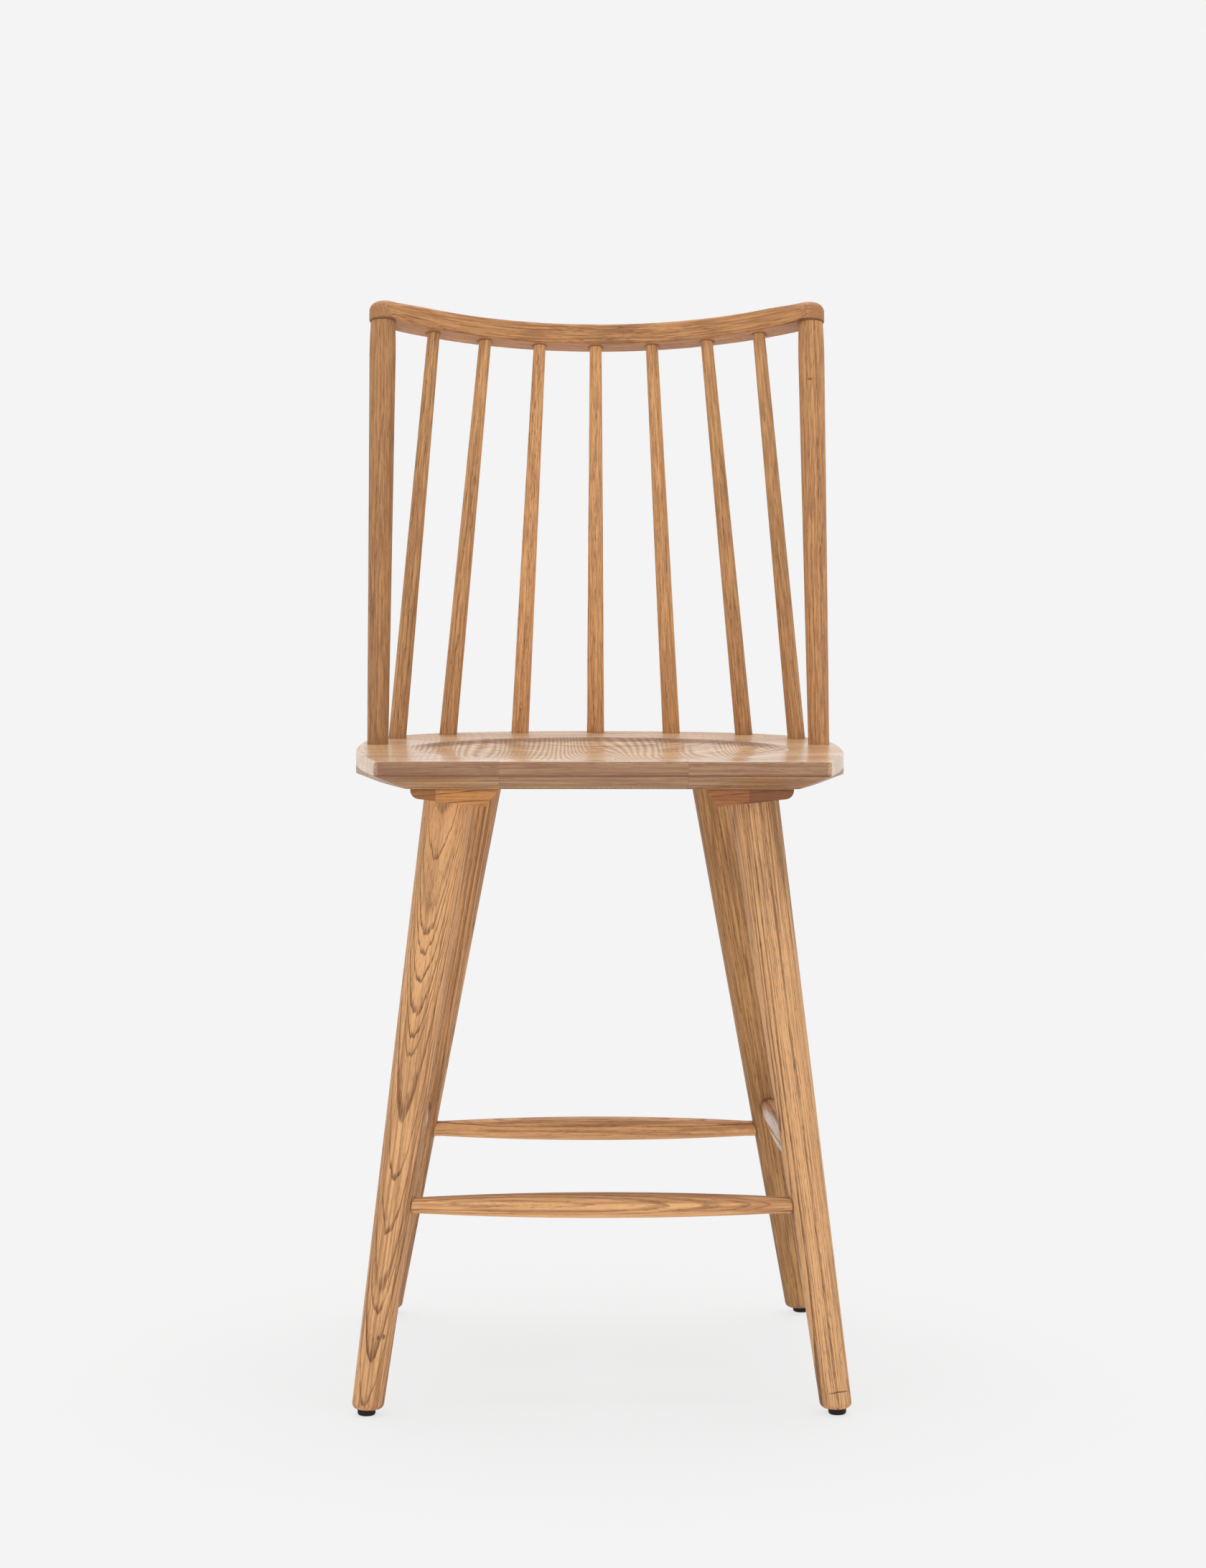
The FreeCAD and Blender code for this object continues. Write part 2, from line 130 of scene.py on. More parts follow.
def newMaterial(name):
    material = bpy.data.materials.new(name)
    material.use_nodes = True
    material.node_tree.nodes.clear()
    return material, Wire(material.node_tree)


def output(wire, shader, target="ShaderNodeOutputMaterial"):
    wire.node(target, {}, {"Surface": shader})


def rgb(red, green, blue):
    return (red, green, blue, 1.0)


# oak: growth rings are circles round a pith line beside the piece, so that a tapered or dished piece
# cuts them into the arches and straight lines that turned and carved oak shows
oakLook = {
    "light": rgb(0.67, 0.352, 0.152),   # late wood
    "deep": rgb(0.385, 0.190, 0.084),   # streaks and blotches
    "line": rgb(0.150, 0.062, 0.030),   # start of each ring, where the stain collects
    "pore": rgb(0.110, 0.046, 0.022),
    "lineStrength": 0.80,
    "poreStrength": 0.8,
    "uneven": 0.75,                     # share by which some rings are fainter
    "spacing": 2.8,                     # mm from ring to ring
    "crowd": None,                      # closer rings: mm from the pith, over how far, how many more
    "wobble": 2.6,                      # mm that the rings wander
    "streak": (0.38, 0.0090),           # how fine the streaks are across and along, per mm
    "blotch": 0.28,                     # share of broad blotches in them
    "paleFrom": None,                   # where the piece grows lighter: mm along the grain
    "marks": [],                        # knots and cracks: place and size in mm
    "socketShadeAndStainShare": 0.6,                 # painted shade and stain in the gaps round the rods that go into the piece
    "topBand": (3, 11),                 # mm from the middle, where the painted shade on top and the painted light below begin
    "roughness": 0.46,
    "bump": 0.35,
    "bumpDepth": 0.0006,                # metres
    "coat": 0.0,
    "coatRoughness": 0.28,
    "specular": 0.20,
}
oakGrain = {
    "wander": ((0.016, 0.016, 0.0042), 1.5),  # how fine across, aside and along the grain, per mm, and detail
    "jitter": ((0.14, 0.14, 0.014), 2.0),
    "dash": ((0.45, 0.45, 0.022), 2.0),
    "fibre": ((1.20, 1.20, 0.095), 2.5),
    "streakDetail": 3.0,
    "jitterReach": 1.5,                 # mm that the rings are frayed
    "season": 0.21,                     # wide and narrow years, per mm
    "seasonDetail": 1.0,
    "seasonRings": 2.2,                 # rings by which they shift the count
    "coreRise": (0.0, 0.06),            # the dark start of a ring, in shares of the ring
    "coreFall": (0.34, 0.12),
    "coreShare": 0.80,
    "tailFall": 2.4,                    # power by which the rest of a ring grows paler
    "tailShare": 0.30,
    "dashFrom": (0.32, 0.54),
    "dashLeast": 0.45,                  # what is left of a ring's line between the dashes
    "poreFrom": (0.53, 0.65),
    "poreLeast": 0.25,                  # pores late in a ring
    "warmFrom": (0.37, 0.63),
    "staveTone": 0.02,
    "paleShare": 0.10,
    "markShare": 0.75,
    "markEdge": (1.15, 0.6),            # in the mark's own sizes
    "lineRough": 0.10,
    "poreRough": 0.20,
    "streakRough": 0.10,
    "poreDepth": 0.7,
    "lineDepth": 0.35,
}
staveShift = (900, 700, 500)            # mm between the places in the tree that two staves can come from
socketShadeAndStain = {"edge": (3.2, 0.6), "past": (9, 5)}  # reach of the painted shade and stain round each rod: mm from the rod's side, and past its ends


def grainPlace(wire, look):  # Object coordinates turned to mm: x to the bark, y aside, z along the grain
    along = Vector(look["along"]).normalized()
    facing = Vector(look["facing"])
    facing = (facing - along * facing.dot(along)).normalized()
    turn = Matrix((facing, along.cross(facing), along)).transposed().to_euler()
    return mmPlace(wire, look["origin"], turn)


def markShade(place, marks):  # 1 inside any of the marks, 0 outside them
    shade = None
    for middle, size in marks:
        offset = place.vectorMaths("SUBTRACT", place, middle)
        reach = offset.vectorMaths("DIVIDE", offset, size).length()
        spot = ramp(reach, *oakGrain["markEdge"])
        shade = spot if shade is None else shade.most(spot)
    return shade


def ringLines(x, y, z, place, wander, jitter, pith, look):  # each ring's dark start, and its rest
    depth, aside, rise = pith  # of the rings' centre line: behind x, aside, and rise per mm
    grain = oakGrain
    dx = x + depth + z * rise + (wander[0] - 0.5) * look["wobble"] * 2
    dy = y - aside + (wander[1] - 0.5) * look["wobble"] * 2
    radius = (dx * dx + dy * dy) ** 0.5 + (jitter - 0.5) * grain["jitterReach"]
    seasons = x.node("ShaderNodeTexNoise", {"noise_dimensions": "1D"},
                     {"W": radius * grain["season"], "Scale": 1.0, "Detail": grain["seasonDetail"]}, "Fac")
    count = radius / look["spacing"] + seasons * grain["seasonRings"]
    if look["crowd"]:
        near, over, more = look["crowd"]
        count = count + count.maths("TANH", (radius - near) / over) * more
    part = count.fraction()
    luck = chance(count.whole())
    core = ramp(part, *grain["coreRise"]) * ramp(part, *grain["coreFall"])
    tail = (1 - part) ** grain["tailFall"]
    dash = ramp(cloud(place, *grain["dash"]), *grain["dashFrom"])
    strong = 1 - look["uneven"] * luck[0]
    broken = grain["dashLeast"] + (1 - grain["dashLeast"]) * dash
    return (core * grain["coreShare"] + tail * grain["tailShare"]) * strong * broken, tail


def oakShader(x, y, z, pith, look, shift=None, tone=None):  # colour, roughness and height of the grain
    grain = oakGrain
    place = join(x, y, z)
    if shift is not None:
        place = join(*[part + shift * reach for part, reach in zip((x, y, z), staveShift)])
    wander = cloud(place, *grain["wander"], out="Color").split()
    jitter = cloud(place, *grain["jitter"])
    line, tail = ringLines(x, y, z, place, wander, jitter, pith, look)
    pore = ramp(cloud(place, *grain["fibre"]), *grain["poreFrom"])
    vessel = pore * (grain["poreLeast"] + (1 - grain["poreLeast"]) * tail)
    fine, run = look["streak"]
    streak = cloud(place, (fine, fine, run), grain["streakDetail"])
    mixed = streak * (1 - look["blotch"]) + wander[2] * look["blotch"]
    if tone is not None:
        mixed = mixed + (tone - 0.5) * grain["staveTone"]
    if look["paleFrom"]:
        mixed = mixed + ramp(z, *look["paleFrom"]) * grain["paleShare"]
    colour = blend(ramp(mixed, *grain["warmFrom"]), look["deep"], look["light"])
    colour = blend(line * look["lineStrength"], colour, look["line"])
    colour = blend(vessel * look["poreStrength"], colour, look["pore"])
    if look["marks"]:
        frayed = join(x, y, z + (jitter - 0.5) * 2 * grain["jitterReach"])
        colour = blend(markShade(frayed, look["marks"]) * grain["markShare"], colour, look["pore"])
    rough = look["roughness"] + grain["lineRough"] * line + grain["poreRough"] * vessel
    rough = rough + (streak - 0.5) * grain["streakRough"]
    height = 1 - vessel * grain["poreDepth"] - line * grain["lineDepth"]
    return colour, rough, height


def finishOak(wire, colour, rough, height, look, coat=None):
    bump = wire.node("ShaderNodeBump", {}, {"Height": height, "Strength": look["bump"],
                                            "Distance": look["bumpDepth"]}, "Normal")
    skin = wire.node("ShaderNodeBsdfPrincipled", {},
                     {"Base Color": colour, "Roughness": rough, "Normal": bump,
                      "Coat Weight": look["coat"] if coat is None else coat,
                      "Coat Roughness": look["coatRoughness"], "Specular IOR Level": look["specular"]})
    output(wire, skin)


def socketShade(wire, rods, end):  # stain and shadow in the gap round each rod: 1 at the rod, 0 past it
    place = objectPlace(wire)
    far, near = socketShadeAndStain["past"]
    shade = None
    for rod in rods:
        offset = wire.vectorMaths("SUBTRACT", place, rod["low"])
        axis = (rod["high"] - rod["low"]).normalized()
        length = (rod["high"] - rod["low"]).length * perMetre
        reach = wire.vectorMaths("CROSS_PRODUCT", offset, axis).length() * perMetre
        run = wire.vectorMaths("DOT_PRODUCT", offset, axis, out="Value") * perMetre
        ring = ramp(reach, *[rod[end] + edge for edge in socketShadeAndStain["edge"]])
        ring = ring * ramp(run, -far, -near) * ramp(run, length + far, length + near)
        shade = ring if shade is None else shade.most(ring)
    return shade


def rodAxis(name, direction):  # middles of the two ends of a rod that runs along x (0), y (1) or z (2)
    corners = np.array([vertex.co for vertex in nodes[name].data.vertices])
    along = corners[:, direction]
    tip = 0.012  # metres of each end
    return {"low": Vector(corners[along < along.min() + tip].mean(0)),
            "high": Vector(corners[along > along.max() - tip].mean(0))}


def straightOak(name, look, rods=()):
    look = {**oakLook, **look}
    material, wire = newMaterial(name)
    x, y, z = grainPlace(wire, look).split()
    colour, rough, height = oakShader(x, y, z, look["pith"], look)
    if rods:
        # painted shade and stain in the gaps where the stretchers go in
        colour = blend(socketShade(wire, rods, "endRadius") * look["socketShadeAndStainShare"], colour, look["line"])
    if "darkBoardAndShadeEdge" in look:  # darker past a place along the grain: a darker board glued on in the right front cleat, painted shade on the outer end of the left front cleat; the grain's places where it is not and is dark
        colour = blend(ramp(z, *look["darkBoardAndShadeEdge"]) * look["darkBoardAndShadeShare"], colour, look["line"])
    if "paintedTopShade" in look:  # painted shade on top, where the seat keeps the light off, and painted light below, from the floor
        upward = (objectPlace(wire).split()[2] - look["origin"][2]) * perMetre
        middle, outer = look["topBand"]
        colour = blend(ramp(upward, middle, outer) * look["paintedTopShade"], colour, look["line"])
        colour = blend(ramp(upward, -middle, -outer) * look["paintedLowLight"], colour, look["light"])
    finishOak(wire, colour, rough, height, look)
    return material


def bentOak(name, look, sticks):  # the grain follows an arc round the origin
    look = {**oakLook, **look}
    material, wire = newMaterial(name)
    x, y, z = mmPlace(wire, look["origin"], (look["tilt"], 0, 0)).split()
    across = look["radius"] - (x * x + y * y) ** 0.5
    run = x.maths("ARCTAN2", x, y) * look["radius"]
    colour, rough, height = oakShader(across, z, run, look["pith"], look)
    colour = blend(ramp(abs(run), *look["cutFrom"]) * look["cutShare"], colour, look["cutEnd"])
    # painted shade on the crest's underside
    colour = blend(ramp(z, *look["underShadeBand"]) * look["underShadeShare"], colour, look["line"])
    # painted shade and stain in the gaps round the stick tops
    sockets = socketShade(wire, sticks.values(), "topRadius") * ramp(z, *look["socketBand"])
    colour = blend(sockets * look["socketShadeAndStainShare"], colour, look["line"])
    finishOak(wire, colour, rough, height, look)
    return material


def dress(node, material):
    piece = nodes[node]
    piece.data.materials.clear()
    piece.data.materials.append(material)


# legs: axis from foot to head in metres
legAxis = {
    "front": {"foot": (0.221, -0.24446, 0.0), "head": (0.1435, -0.13646, 0.5845)},
    "rear": {"foot": (0.218, 0.21654, 0.0), "head": (0.117, 0.11254, 0.5845)},
}
legLooks = {
    "leg_front_left": {
        "facing": (-0.2, -1, 0), "pith": (70, 0, 0.055), "spacing": 4.3, "crowd": (110.9, 4.9, 1.6),
        "wobble": 1.4, "lineStrength": 0.85, "uneven": 0.3, "streak": (0.45, 0.0070), "paleFrom": (330, 520),
        "light": rgb(0.76, 0.410, 0.184), "deep": rgb(0.42, 0.214, 0.097),
        "marks": [((15.3, 4.5, 73), (4, 1.3, 2.4)), ((13.2, 9.1, 74), (4, 1.3, 2.6))]},
    "leg_front_right": {
        "facing": (-1, -0.25, 0), "pith": (-120, 8, 0.004), "spacing": 2.7, "lineStrength": 0.9,
        "streak": (0.60, 0.0100), "paleFrom": (560, 380),
        "light": rgb(0.735, 0.405, 0.188), "deep": rgb(0.36, 0.186, 0.086),
        "marks": [((0, 12, 20), (11, 12, 0.9))]},
    "leg_rear_left": {"facing": (-1, 0.3, 0), "pith": (85, 0, -0.006), "spacing": 3.0},
    "leg_rear_right": {
        "facing": (1, -0.35, 0), "pith": (95, 4, 0.004), "spacing": 3.2, "lineStrength": 0.6,
        "streak": (0.45, 0.0160), "light": rgb(0.545, 0.292, 0.115), "deep": rgb(0.31, 0.154, 0.060)},
}
stretcherRun = {"stretcher_front": 0, "stretcher_rear": 0, "stretcher_left": 1, "stretcher_right": 1}
endRadius = 7.8  # mm
stretcherRods = {name: {**rodAxis(name, run), "endRadius": endRadius} for name, run in stretcherRun.items()}
for name, look in legLooks.items():
    place, side = name.split("_")[1:]
    mirror = Vector((-1 if side == "left" else 1, 1, 1))
    foot = Vector(legAxis[place]["foot"]) * mirror
    head = Vector(legAxis[place]["head"]) * mirror
    rods = [stretcherRods["stretcher_" + place], stretcherRods["stretcher_" + side]]
    dress(name, straightOak(name, {"origin": foot, "along": head - foot, **look}, rods))
print("legs dressed")

# stretchers: axis from end to end
# the darker tops and lighter undersides set here are painted shade and painted light
stretcherLooks = {
    "stretcher_front": {
        "origin": (-0.1, -0.209, 0.192), "along": (1, 0, 0), "facing": (0, -1, 0.2), "pith": (60, 1, -0.020),
        "spacing": 2.9, "streak": (0.30, 0.008), "lineStrength": 0.7, "poreStrength": 0.6,
        "light": rgb(0.80, 0.43, 0.190), "deep": rgb(0.48, 0.238, 0.106),
        "paintedTopShade": 0.42, "paintedLowLight": 0.6},
    "stretcher_rear": {
        "origin": (0, 0.181, 0.2005), "along": (1, 0, 0), "facing": (0, -0.3, 1), "pith": (70, 0, 0.003),
        "spacing": 2.4, "streak": (0.30, 0.012),
        "light": rgb(0.80, 0.43, 0.190), "deep": rgb(0.46, 0.228, 0.102),
        "paintedTopShade": 0.3, "paintedLowLight": 0.3},
    "stretcher_left": {
        "origin": (-0.185, 0, 0.227), "along": (0, 1, 0), "facing": (1, 0, 0.4), "pith": (60, 0, 0.01),
        "coat": 0.8, "coatRoughness": 0.22},
    "stretcher_right": {
        "origin": (0.185, 0, 0.227), "along": (0, 1, 0), "facing": (-1, 0, 0.4), "pith": (65, 0, -0.01),
        "coat": 0.8, "coatRoughness": 0.22},
}
for name, look in stretcherLooks.items():
    dress(name, straightOak(name, look))
print("stretchers dressed")

# back: fine straight grain, each stick turned its own way
stickLook = {"spacing": 2.3, "wobble": 2.2, "lineStrength": 0.40, "poreStrength": 0.7,
             "streak": (0.60, 0.030), "blotch": 0.15}
spindleLook = {"baseRadius": 8.9, "topRadius": 6.2,
               "light": rgb(0.69, 0.377, 0.165), "deep": rgb(0.46, 0.236, 0.105)}
postLook = {"baseRadius": 10.5, "topRadius": 12.3,
            "light": rgb(0.60, 0.308, 0.130), "deep": rgb(0.39, 0.190, 0.083)}
postMarks = {"post_right": [((4.5, 12.3, 392), (4, 6, 2.2))]}
stickTones = {  # each from its own board
    "post_left": 0.82, "post_right": 1.03, "spindle_1": 0.95, "spindle_2": 1.06, "spindle_3": 1.26,
    "spindle_4": 1.20, "spindle_5": 1.11, "spindle_6": 0.96, "spindle_7": 0.93}
stickPlace = {"turn": 0.9, "nextTurn": 2.4,  # radians
              "depth": 60, "nextDepth": 11, "nextAside": 3, "nextRise": 0.004}  # mm, and mm per mm
sticks = {name: dict(postLook if name.startswith("post") else spindleLook) for name in stickTones}


def toned(colour, tone):
    return rgb(*[min(part * tone, 1.0) for part in colour[:3]])


def stickPith(index):  # mm behind, mm aside and rise per mm, a little different from stick to stick
    depth = stickPlace["depth"] + stickPlace["nextDepth"] * (index % 4)
    return (depth, stickPlace["nextAside"] * (index % 3), stickPlace["nextRise"] * ((index % 5) - 2))


for index, (name, stick) in enumerate(sticks.items()):
    stick.update(rodAxis(name, 2))
    stick.update({key: toned(stick[key], stickTones[name]) for key in ("light", "deep")})
    angle = stickPlace["turn"] + stickPlace["nextTurn"] * index
    look = {"origin": stick["low"], "along": stick["high"] - stick["low"],
            "facing": (math.cos(angle), math.sin(angle), 0), "pith": stickPith(index),
            "marks": postMarks.get(name, [])}
    dress(name, straightOak(name, {**stickLook, **stick, **look}))
crestLook = {
    "origin": (0, -0.0740, 1.0977), "tilt": math.radians(-16), "radius": 323.6, "pith": (190, 6, 0.0),
    "spacing": 2.2, "streak": (0.50, 0.020), "blotch": 0.2, "lineStrength": 0.42, "poreStrength": 0.85,
    "light": rgb(0.60, 0.300, 0.126), "deep": rgb(0.34, 0.158, 0.068),
    "cutFrom": (241.0, 249.0),  # ends: mm along the arc
    "cutShare": 0.65, "cutEnd": rgb(0.39, 0.187, 0.081),
    "underShadeBand": (1.5, 0.5), "socketBand": (3, 1),  # mm above the underside, where the painted shade on the underside and round the sockets fades out
    "underShadeShare": 0.15, "socketShadeAndStainShare": 0.8,
}
dress("crest_rail", bentOak("crest_rail", crestLook, sticks))
print("back dressed")

# seat: a board glued up from staves, each cut from its own place in the tree
seatLook = {
    "origin": (0, 0, 0.5983), "along": (1, 0, 0), "facing": (0, 0, 1),
    "front": 214.5, "top": 13.7, "bevel": 0.2,  # mm from the origin
    "dishHalfWidth": 185.0, "dishHalfLength": 157.0, "dishMiddle": 175.0,
    "staveWidth": 86.0, "staveLength": 177.0, "joint": -97.0, "slide": 0.37,
    "seam": (0.45, 0.1), "butt": (0.5, 0.1), "jointShare": 0.55,  # glue lines, mm from the joint
    "draw": (3.7, 1.3, 4.0),  # luck by the row, by the run and of the board
    "pithDepth": (30, 70), "pithSpread": 120, "pithRise": 0.06,
    "spacing": 4.4, "wobble": 4.0, "lineStrength": 0.55, "streak": (0.32, 0.0110),
    "light": rgb(0.77, 0.480, 0.235), "deep": rgb(0.37, 0.190, 0.083),
    "coat": 1.0, "coatRoughness": 0.25, "roughness": 0.40,
}
seatFigure = {
    "colour": rgb(0.25, 0.120, 0.052), "share": 0.34,
    "rate": 0.17, "slant": 0.010,  # ripples per mm along and across the grain
    "drift": ((0.012, 0.0020, 0.012), 1.2), "driftTurns": 17,
    "patch": ((0.008, 0.004, 0.013), 1.0), "patchFrom": (0.22, 0.40), "inFrom": (8, 24),
    "rimFrom": (0.95, 1.05), "rimFaint": 0.6,  # in shares of the dish
    "rough": 0.12, "depth": 0.5, "matt": 0.85,
}
# the seat's painted shade and painted highlight, with the stain in its gaps
seatStainShadeAndHighlight = {
    "upperArris": (2.2, 0.4), "lowerArris": (1.3, 0.3), "arrisIn": (3, 0.8), "arrisShadeShare": 0.85,  # mm
    "socketShadeAndStainShare": 0.5,
    "lipAt": 0.97, "lipBand": (0.07, 0.01), "lipFrom": (-0.1, 0.5),  # in shares of the dish
    "lipShadeShare": 0.75, "lipMatt": 0.8,
    "rimFrom": (0.93, 1.03), "backFrom": (0.45, 0.85), "rimShare": 0.2, "rimMatt": 0.65,
    "sideFrom": (210.0, 216.0), "sideBelow": (0.3, 1.5),  # mm from the middle, and below the top
    # the pale colour on the sides is a painted highlight
    "side": rgb(0.80, 0.58, 0.38), "sideHighlightShare": 0.35,
    "frontIn": (2.5, 0.5), "front": rgb(0.24, 0.085, 0.036), "frontShare": 0.34,
    "bevelEdge": 0.5, "bevelShare": 0.58, "bevelMatt": 0.85,
}


def staveGrain(x, y, z, inside, look):  # colour, roughness and height, with the glue lines between the staves
    rowAt = inside / look["staveWidth"]
    row = rowAt.whole()
    runAt = (z - look["joint"]) / look["staveLength"] + (row * look["slide"]).fraction()
    byRow, byRun, ofBoard = look["draw"]
    luck = chance(row * byRow + runAt.whole() * byRun + ofBoard)
    least, more = look["pithDepth"]
    depth = least + luck[0] * more
    aside = look["front"] - (row + 0.5) * look["staveWidth"] + (luck[1] - 0.5) * look["pithSpread"]
    rise = (luck[2] - 0.5) * look["pithRise"]
    colour, rough, height = oakShader(x, y, z, (depth, aside, rise), look, luck[1], luck[2])
    edge, end = rowAt.fraction(), runAt.fraction()
    seam = ramp(edge.least(1 - edge) * look["staveWidth"], *look["seam"])
    butt = ramp(end.least(1 - end) * look["staveLength"], *look["butt"])
    return blend(seam.most(butt) * look["jointShare"], colour, look["line"]), rough, height


def rayFigure(x, y, z, inside, dishAt):  # ripples that cross the grain in patches, fainter on the rim
    figure = seatFigure
    place = join(x, y, z)
    drift = cloud(place, *figure["drift"])
    turns = (z * figure["rate"] - y * figure["slant"] + drift * figure["driftTurns"]) * math.tau
    patch = ramp(cloud(place, *figure["patch"]), *figure["patchFrom"]) * ramp(inside, *figure["inFrom"])
    patch = patch * (1 - ramp(dishAt, *figure["rimFrom"]) * figure["rimFaint"])
    return (turns.maths("SINE", turns) * 0.5 + 0.5) * patch


def staveOak(name, look, sticks):
    look = {**oakLook, **look}
    shadeStainAndHighlight = seatStainShadeAndHighlight
    material, wire = newMaterial(name)
    x, y, z = grainPlace(wire, look).split()
    inside = look["front"] - y
    dishX = z / look["dishHalfWidth"]
    dishY = (inside - look["dishMiddle"]) / look["dishHalfLength"]
    dishAt = (dishX * dishX + dishY * dishY) ** 0.5
    colour, rough, height = staveGrain(x, y, z, inside, look)
    ripple = rayFigure(x, y, z, inside, dishAt)
    colour = blend(ripple * seatFigure["share"], colour, seatFigure["colour"])
    # painted shade along the arrises at the front, and painted shade and stain in the gaps round the sticks
    below = look["top"] - x
    arris = ramp(below, *shadeStainAndHighlight["upperArris"]).most(ramp(abs(x - look["bevel"]), *shadeStainAndHighlight["lowerArris"]))
    arris = arris * ramp(inside, *shadeStainAndHighlight["arrisIn"])
    sockets = socketShade(wire, sticks.values(), "baseRadius")
    colour = blend((arris * shadeStainAndHighlight["arrisShadeShare"]).most(sockets * shadeStainAndHighlight["socketShadeAndStainShare"]), colour, look["line"])
    # painted shade along the lip at the back of the dish, and the rim behind it darker and duller
    lip = ramp(abs(dishAt - shadeStainAndHighlight["lipAt"]), *shadeStainAndHighlight["lipBand"]) * ramp(dishY, *shadeStainAndHighlight["lipFrom"])
    rim = ramp(dishAt, *shadeStainAndHighlight["rimFrom"]) * ramp(dishY, *shadeStainAndHighlight["backFrom"])
    colour = blend((lip * shadeStainAndHighlight["lipShadeShare"]).most(rim * shadeStainAndHighlight["rimShare"]), colour, look["line"])
    # a painted highlight on the sides, a warmer front edge and a darker under-bevel
    side = ramp(abs(z), *shadeStainAndHighlight["sideFrom"]) * ramp(below, *shadeStainAndHighlight["sideBelow"])
    colour = blend(side * shadeStainAndHighlight["sideHighlightShare"], colour, shadeStainAndHighlight["side"])
    colour = blend(ramp(inside, *shadeStainAndHighlight["frontIn"]) * shadeStainAndHighlight["frontShare"], colour, shadeStainAndHighlight["front"])
    bevel = ramp(x, look["bevel"] + shadeStainAndHighlight["bevelEdge"], look["bevel"] - shadeStainAndHighlight["bevelEdge"])
    colour = blend(bevel * shadeStainAndHighlight["bevelShare"], colour, look["line"])
    matt = (lip * shadeStainAndHighlight["lipMatt"]).most(rim * shadeStainAndHighlight["rimMatt"])
    coat = (1 - bevel * shadeStainAndHighlight["bevelMatt"]) * (1 - matt) * (1 - ripple * seatFigure["matt"]) * (1 - arris)
    finishOak(wire, colour, rough + ripple * seatFigure["rough"], height - ripple * seatFigure["depth"], look,
              coat * look["coat"])
    return material


dress("seat", staveOak("seat", seatLook, sticks))

# cleats under the seat
cleatLook = {"along": (1, 0, 0), "facing": (0, -0.6, -1), "pith": (45, 6, 0.02), "spacing": 3.0}
cleatLooks = {
    # left front cleat: its darker outer end and top are painted shade, its lighter underside painted light
    "cleat_front_left": {
        "light": rgb(0.66, 0.31, 0.105), "deep": rgb(0.46, 0.195, 0.062), "darkBoardAndShadeEdge": (-17.4, -18.0),
        "darkBoardAndShadeShare": 0.55, "paintedTopShade": 0.3, "paintedLowLight": 0.3},
    "cleat_front_right": {
        "light": rgb(0.42, 0.165, 0.062), "deep": rgb(0.28, 0.105, 0.042), "darkBoardAndShadeEdge": (-1.3, -0.7),
        "darkBoardAndShadeShare": 0.55},
    "cleat_rear_left": {},
    "cleat_rear_right": {},
}
for name, look in cleatLooks.items():
    low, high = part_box(name)
    dress(name, straightOak(name, {"origin": (low + high) / 2, **cleatLook, **look}))
print("seat dressed")

# glides and screws
plasticLook = {"colour": rgb(0.011, 0.0095, 0.008), "worn": rgb(0.022, 0.020, 0.017), "roughness": 0.5,
               "specular": 0.2, "metallic": 0.0, "fine": 1500.0}
steelLook = {"colour": rgb(0.55, 0.54, 0.52), "worn": rgb(0.38, 0.37, 0.36), "roughness": 0.32,
             "specular": 0.5, "metallic": 1.0, "fine": 900.0}
grit = {"detail": 3.0, "wornFrom": (0.45, 0.75), "wornRough": 0.2, "bump": 0.15, "bumpDepth": 0.0002}


def speckled(name, look):  # an even finish with fine worn specks
    material, wire = newMaterial(name)
    specks = cloud(objectPlace(wire), (look["fine"],) * 3, grit["detail"])
    worn = ramp(specks, *grit["wornFrom"])
    bump = wire.node("ShaderNodeBump", {}, {"Height": specks, "Strength": grit["bump"],
                                            "Distance": grit["bumpDepth"]}, "Normal")
    skin = wire.node("ShaderNodeBsdfPrincipled", {},
                     {"Base Color": blend(worn, look["colour"], look["worn"]),
                      "Roughness": look["roughness"] + grit["wornRough"] * worn, "Metallic": look["metallic"],
                      "Specular IOR Level": look["specular"], "Normal": bump})
    output(wire, skin)
    return material


plastic = speckled("glidePlastic", plasticLook)
steel = speckled("zincSteel", steelLook)
for place in ("front_left", "front_right", "rear_left", "rear_right"):
    dress("glide_" + place, plastic)
for name in ("glide_screws", "cleat_screws"):
    dress(name, steel)
print("glides and screws dressed")

# studio: pale floor that keeps a soft shadow, and the same pale tone behind it
studio = {
    "pale": 0.905, "paper": 0.86, "paperLit": 1.15, "shadowShare": 0.16,
    "fadeFrom": 1.6, "fadeTo": 3.4, "size": 60.0, "drop": 0.0002,  # metres
    "ambient": 0.68, "sideFall": 0.45, "sideFrom": (0.45, 0.95),  # less light from the sides
}


def seen(wire):  # 1 for what the camera sees, straight or in a reflection
    rays = ("Is Camera Ray", "Is Glossy Ray", "Is Transmission Ray")
    camera, glossy, clear = [wire.node("ShaderNodeLightPath", {}, {}, ray) for ray in rays]
    return camera.most(glossy).most(clear)


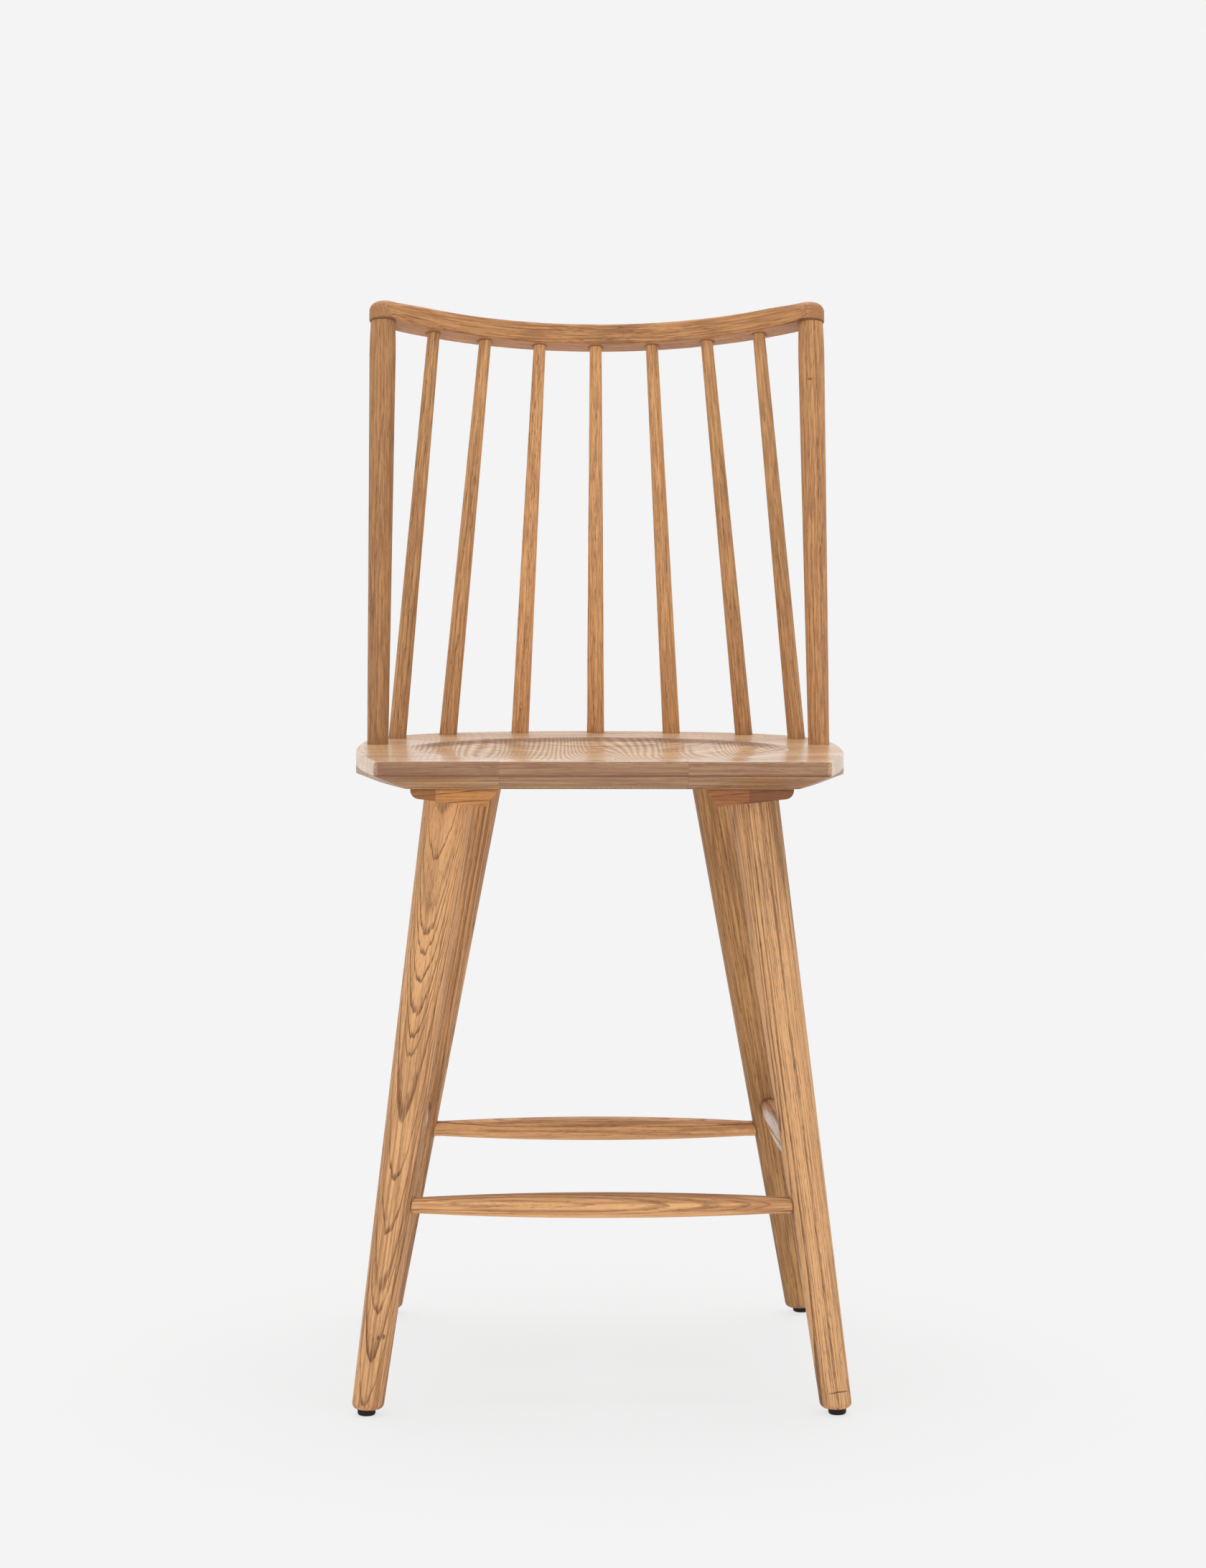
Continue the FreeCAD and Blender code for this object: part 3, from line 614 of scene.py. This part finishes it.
def makeFloor():
    half = studio["size"] / 2
    mesh = bpy.data.meshes.new("floor")
    corners = np.array([[-1, -1, 0], [1, -1, 0], [1, 1, 0], [-1, 1, 0]]) * half - [0, 0, studio["drop"]]
    mesh.from_pydata(corners.tolist(), [], [[0, 1, 2, 3]])
    floor = bpy.data.objects.new("floor", mesh)
    scene.collection.objects.link(floor)
    material, wire = newMaterial("floorPaper")
    reach = objectPlace(wire).length()
    share = ramp(reach, studio["fadeTo"], studio["fadeFrom"]) * studio["shadowShare"]
    paper = wire.node("ShaderNodeBsdfDiffuse", {}, {"Color": rgb(*[studio["paper"]] * 3)})
    level = share / (1 - share) * (studio["pale"] - studio["paperLit"]) + studio["pale"]
    glow = wire.node("ShaderNodeEmission", {}, {"Color": join(level, level, level), "Strength": 1.0})
    shader = wire.node("ShaderNodeMixShader", {}, {0: seen(wire) * (1 - share), 1: paper, 2: glow})
    output(wire, shader)
    mesh.materials.append(material)


def makeWorld():
    world = bpy.data.worlds.new("studio")
    world.use_nodes = True
    world.node_tree.nodes.clear()
    scene.world = world
    wire = Wire(world.node_tree)
    sideways = abs(wire.node("ShaderNodeTexCoord", {}, {}, "Generated").split()[0])
    ambient = studio["ambient"] - ramp(sideways, *studio["sideFrom"]) * studio["sideFall"]
    strength = ambient + seen(wire) * (studio["pale"] - ambient)
    sky = wire.node("ShaderNodeBackground", {}, {"Color": rgb(1, 1, 1), "Strength": strength})
    output(wire, sky, "ShaderNodeOutputWorld")


fillLamps = {
    "fillLeft": {"at": (-2.2, -4.2, 0.7), "towards": (0, 0, 0.5), "size": 1.4, "watts": 22},
    "fillRight": {"at": (2.2, -4.2, 0.7), "towards": (0, 0, 0.5), "size": 1.4, "watts": 22},
}
overhead = {"at": (0, 0, 4), "lean": math.radians(-14), "angle": math.radians(70), "strength": 2.4}


def addLamp(data, place, turn):
    lamp = bpy.data.objects.new(data.name, data)
    lamp.location = place
    lamp.rotation_euler = turn
    scene.collection.objects.link(lamp)


def makeLamps():
    for name, look in fillLamps.items():
        data = bpy.data.lights.new(name, "AREA")
        data.size = look["size"]
        data.energy = look["watts"]
        aim = (Vector(look["towards"]) - Vector(look["at"])).to_track_quat("-Z", "Y").to_euler()
        addLamp(data, look["at"], aim)
    data = bpy.data.lights.new("overhead", "SUN")
    data.angle = overhead["angle"]
    data.energy = overhead["strength"]
    addLamp(data, overhead["at"], (overhead["lean"], 0, 0))


makeFloor()
makeWorld()
makeLamps()
print("studio lit")

# camera at the photograph's place: metres, degrees to the right, down and over, and pixels
eye = {"at": (-0.0724, -4.0113, 0.8962), "turn": 1.0930, "pitch": 4.5926, "roll": 0.1295, "focal": 5677.0,
       "imageHeight": 2184, "farthest": 200}


def makeCamera():
    turn, pitch, roll = [math.radians(eye[key]) for key in ("turn", "pitch", "roll")]
    ahead = Vector((math.sin(turn) * math.cos(pitch), math.cos(turn) * math.cos(pitch), -math.sin(pitch)))
    level = Vector((math.cos(turn), -math.sin(turn), 0))
    raised = level.cross(ahead)
    right = level * math.cos(roll) + raised * math.sin(roll)
    upward = raised * math.cos(roll) - level * math.sin(roll)
    data = bpy.data.cameras.new("eye")
    data.lens = eye["focal"] * data.sensor_width / eye["imageHeight"]
    data.clip_end = eye["farthest"]
    camera = bpy.data.objects.new("eye", data)
    aim = Matrix((right, upward, -ahead)).transposed().to_4x4()
    camera.matrix_world = Matrix.Translation(eye["at"]) @ aim
    scene.collection.objects.link(camera)
    scene.camera = camera


makeCamera()
print("camera placed")
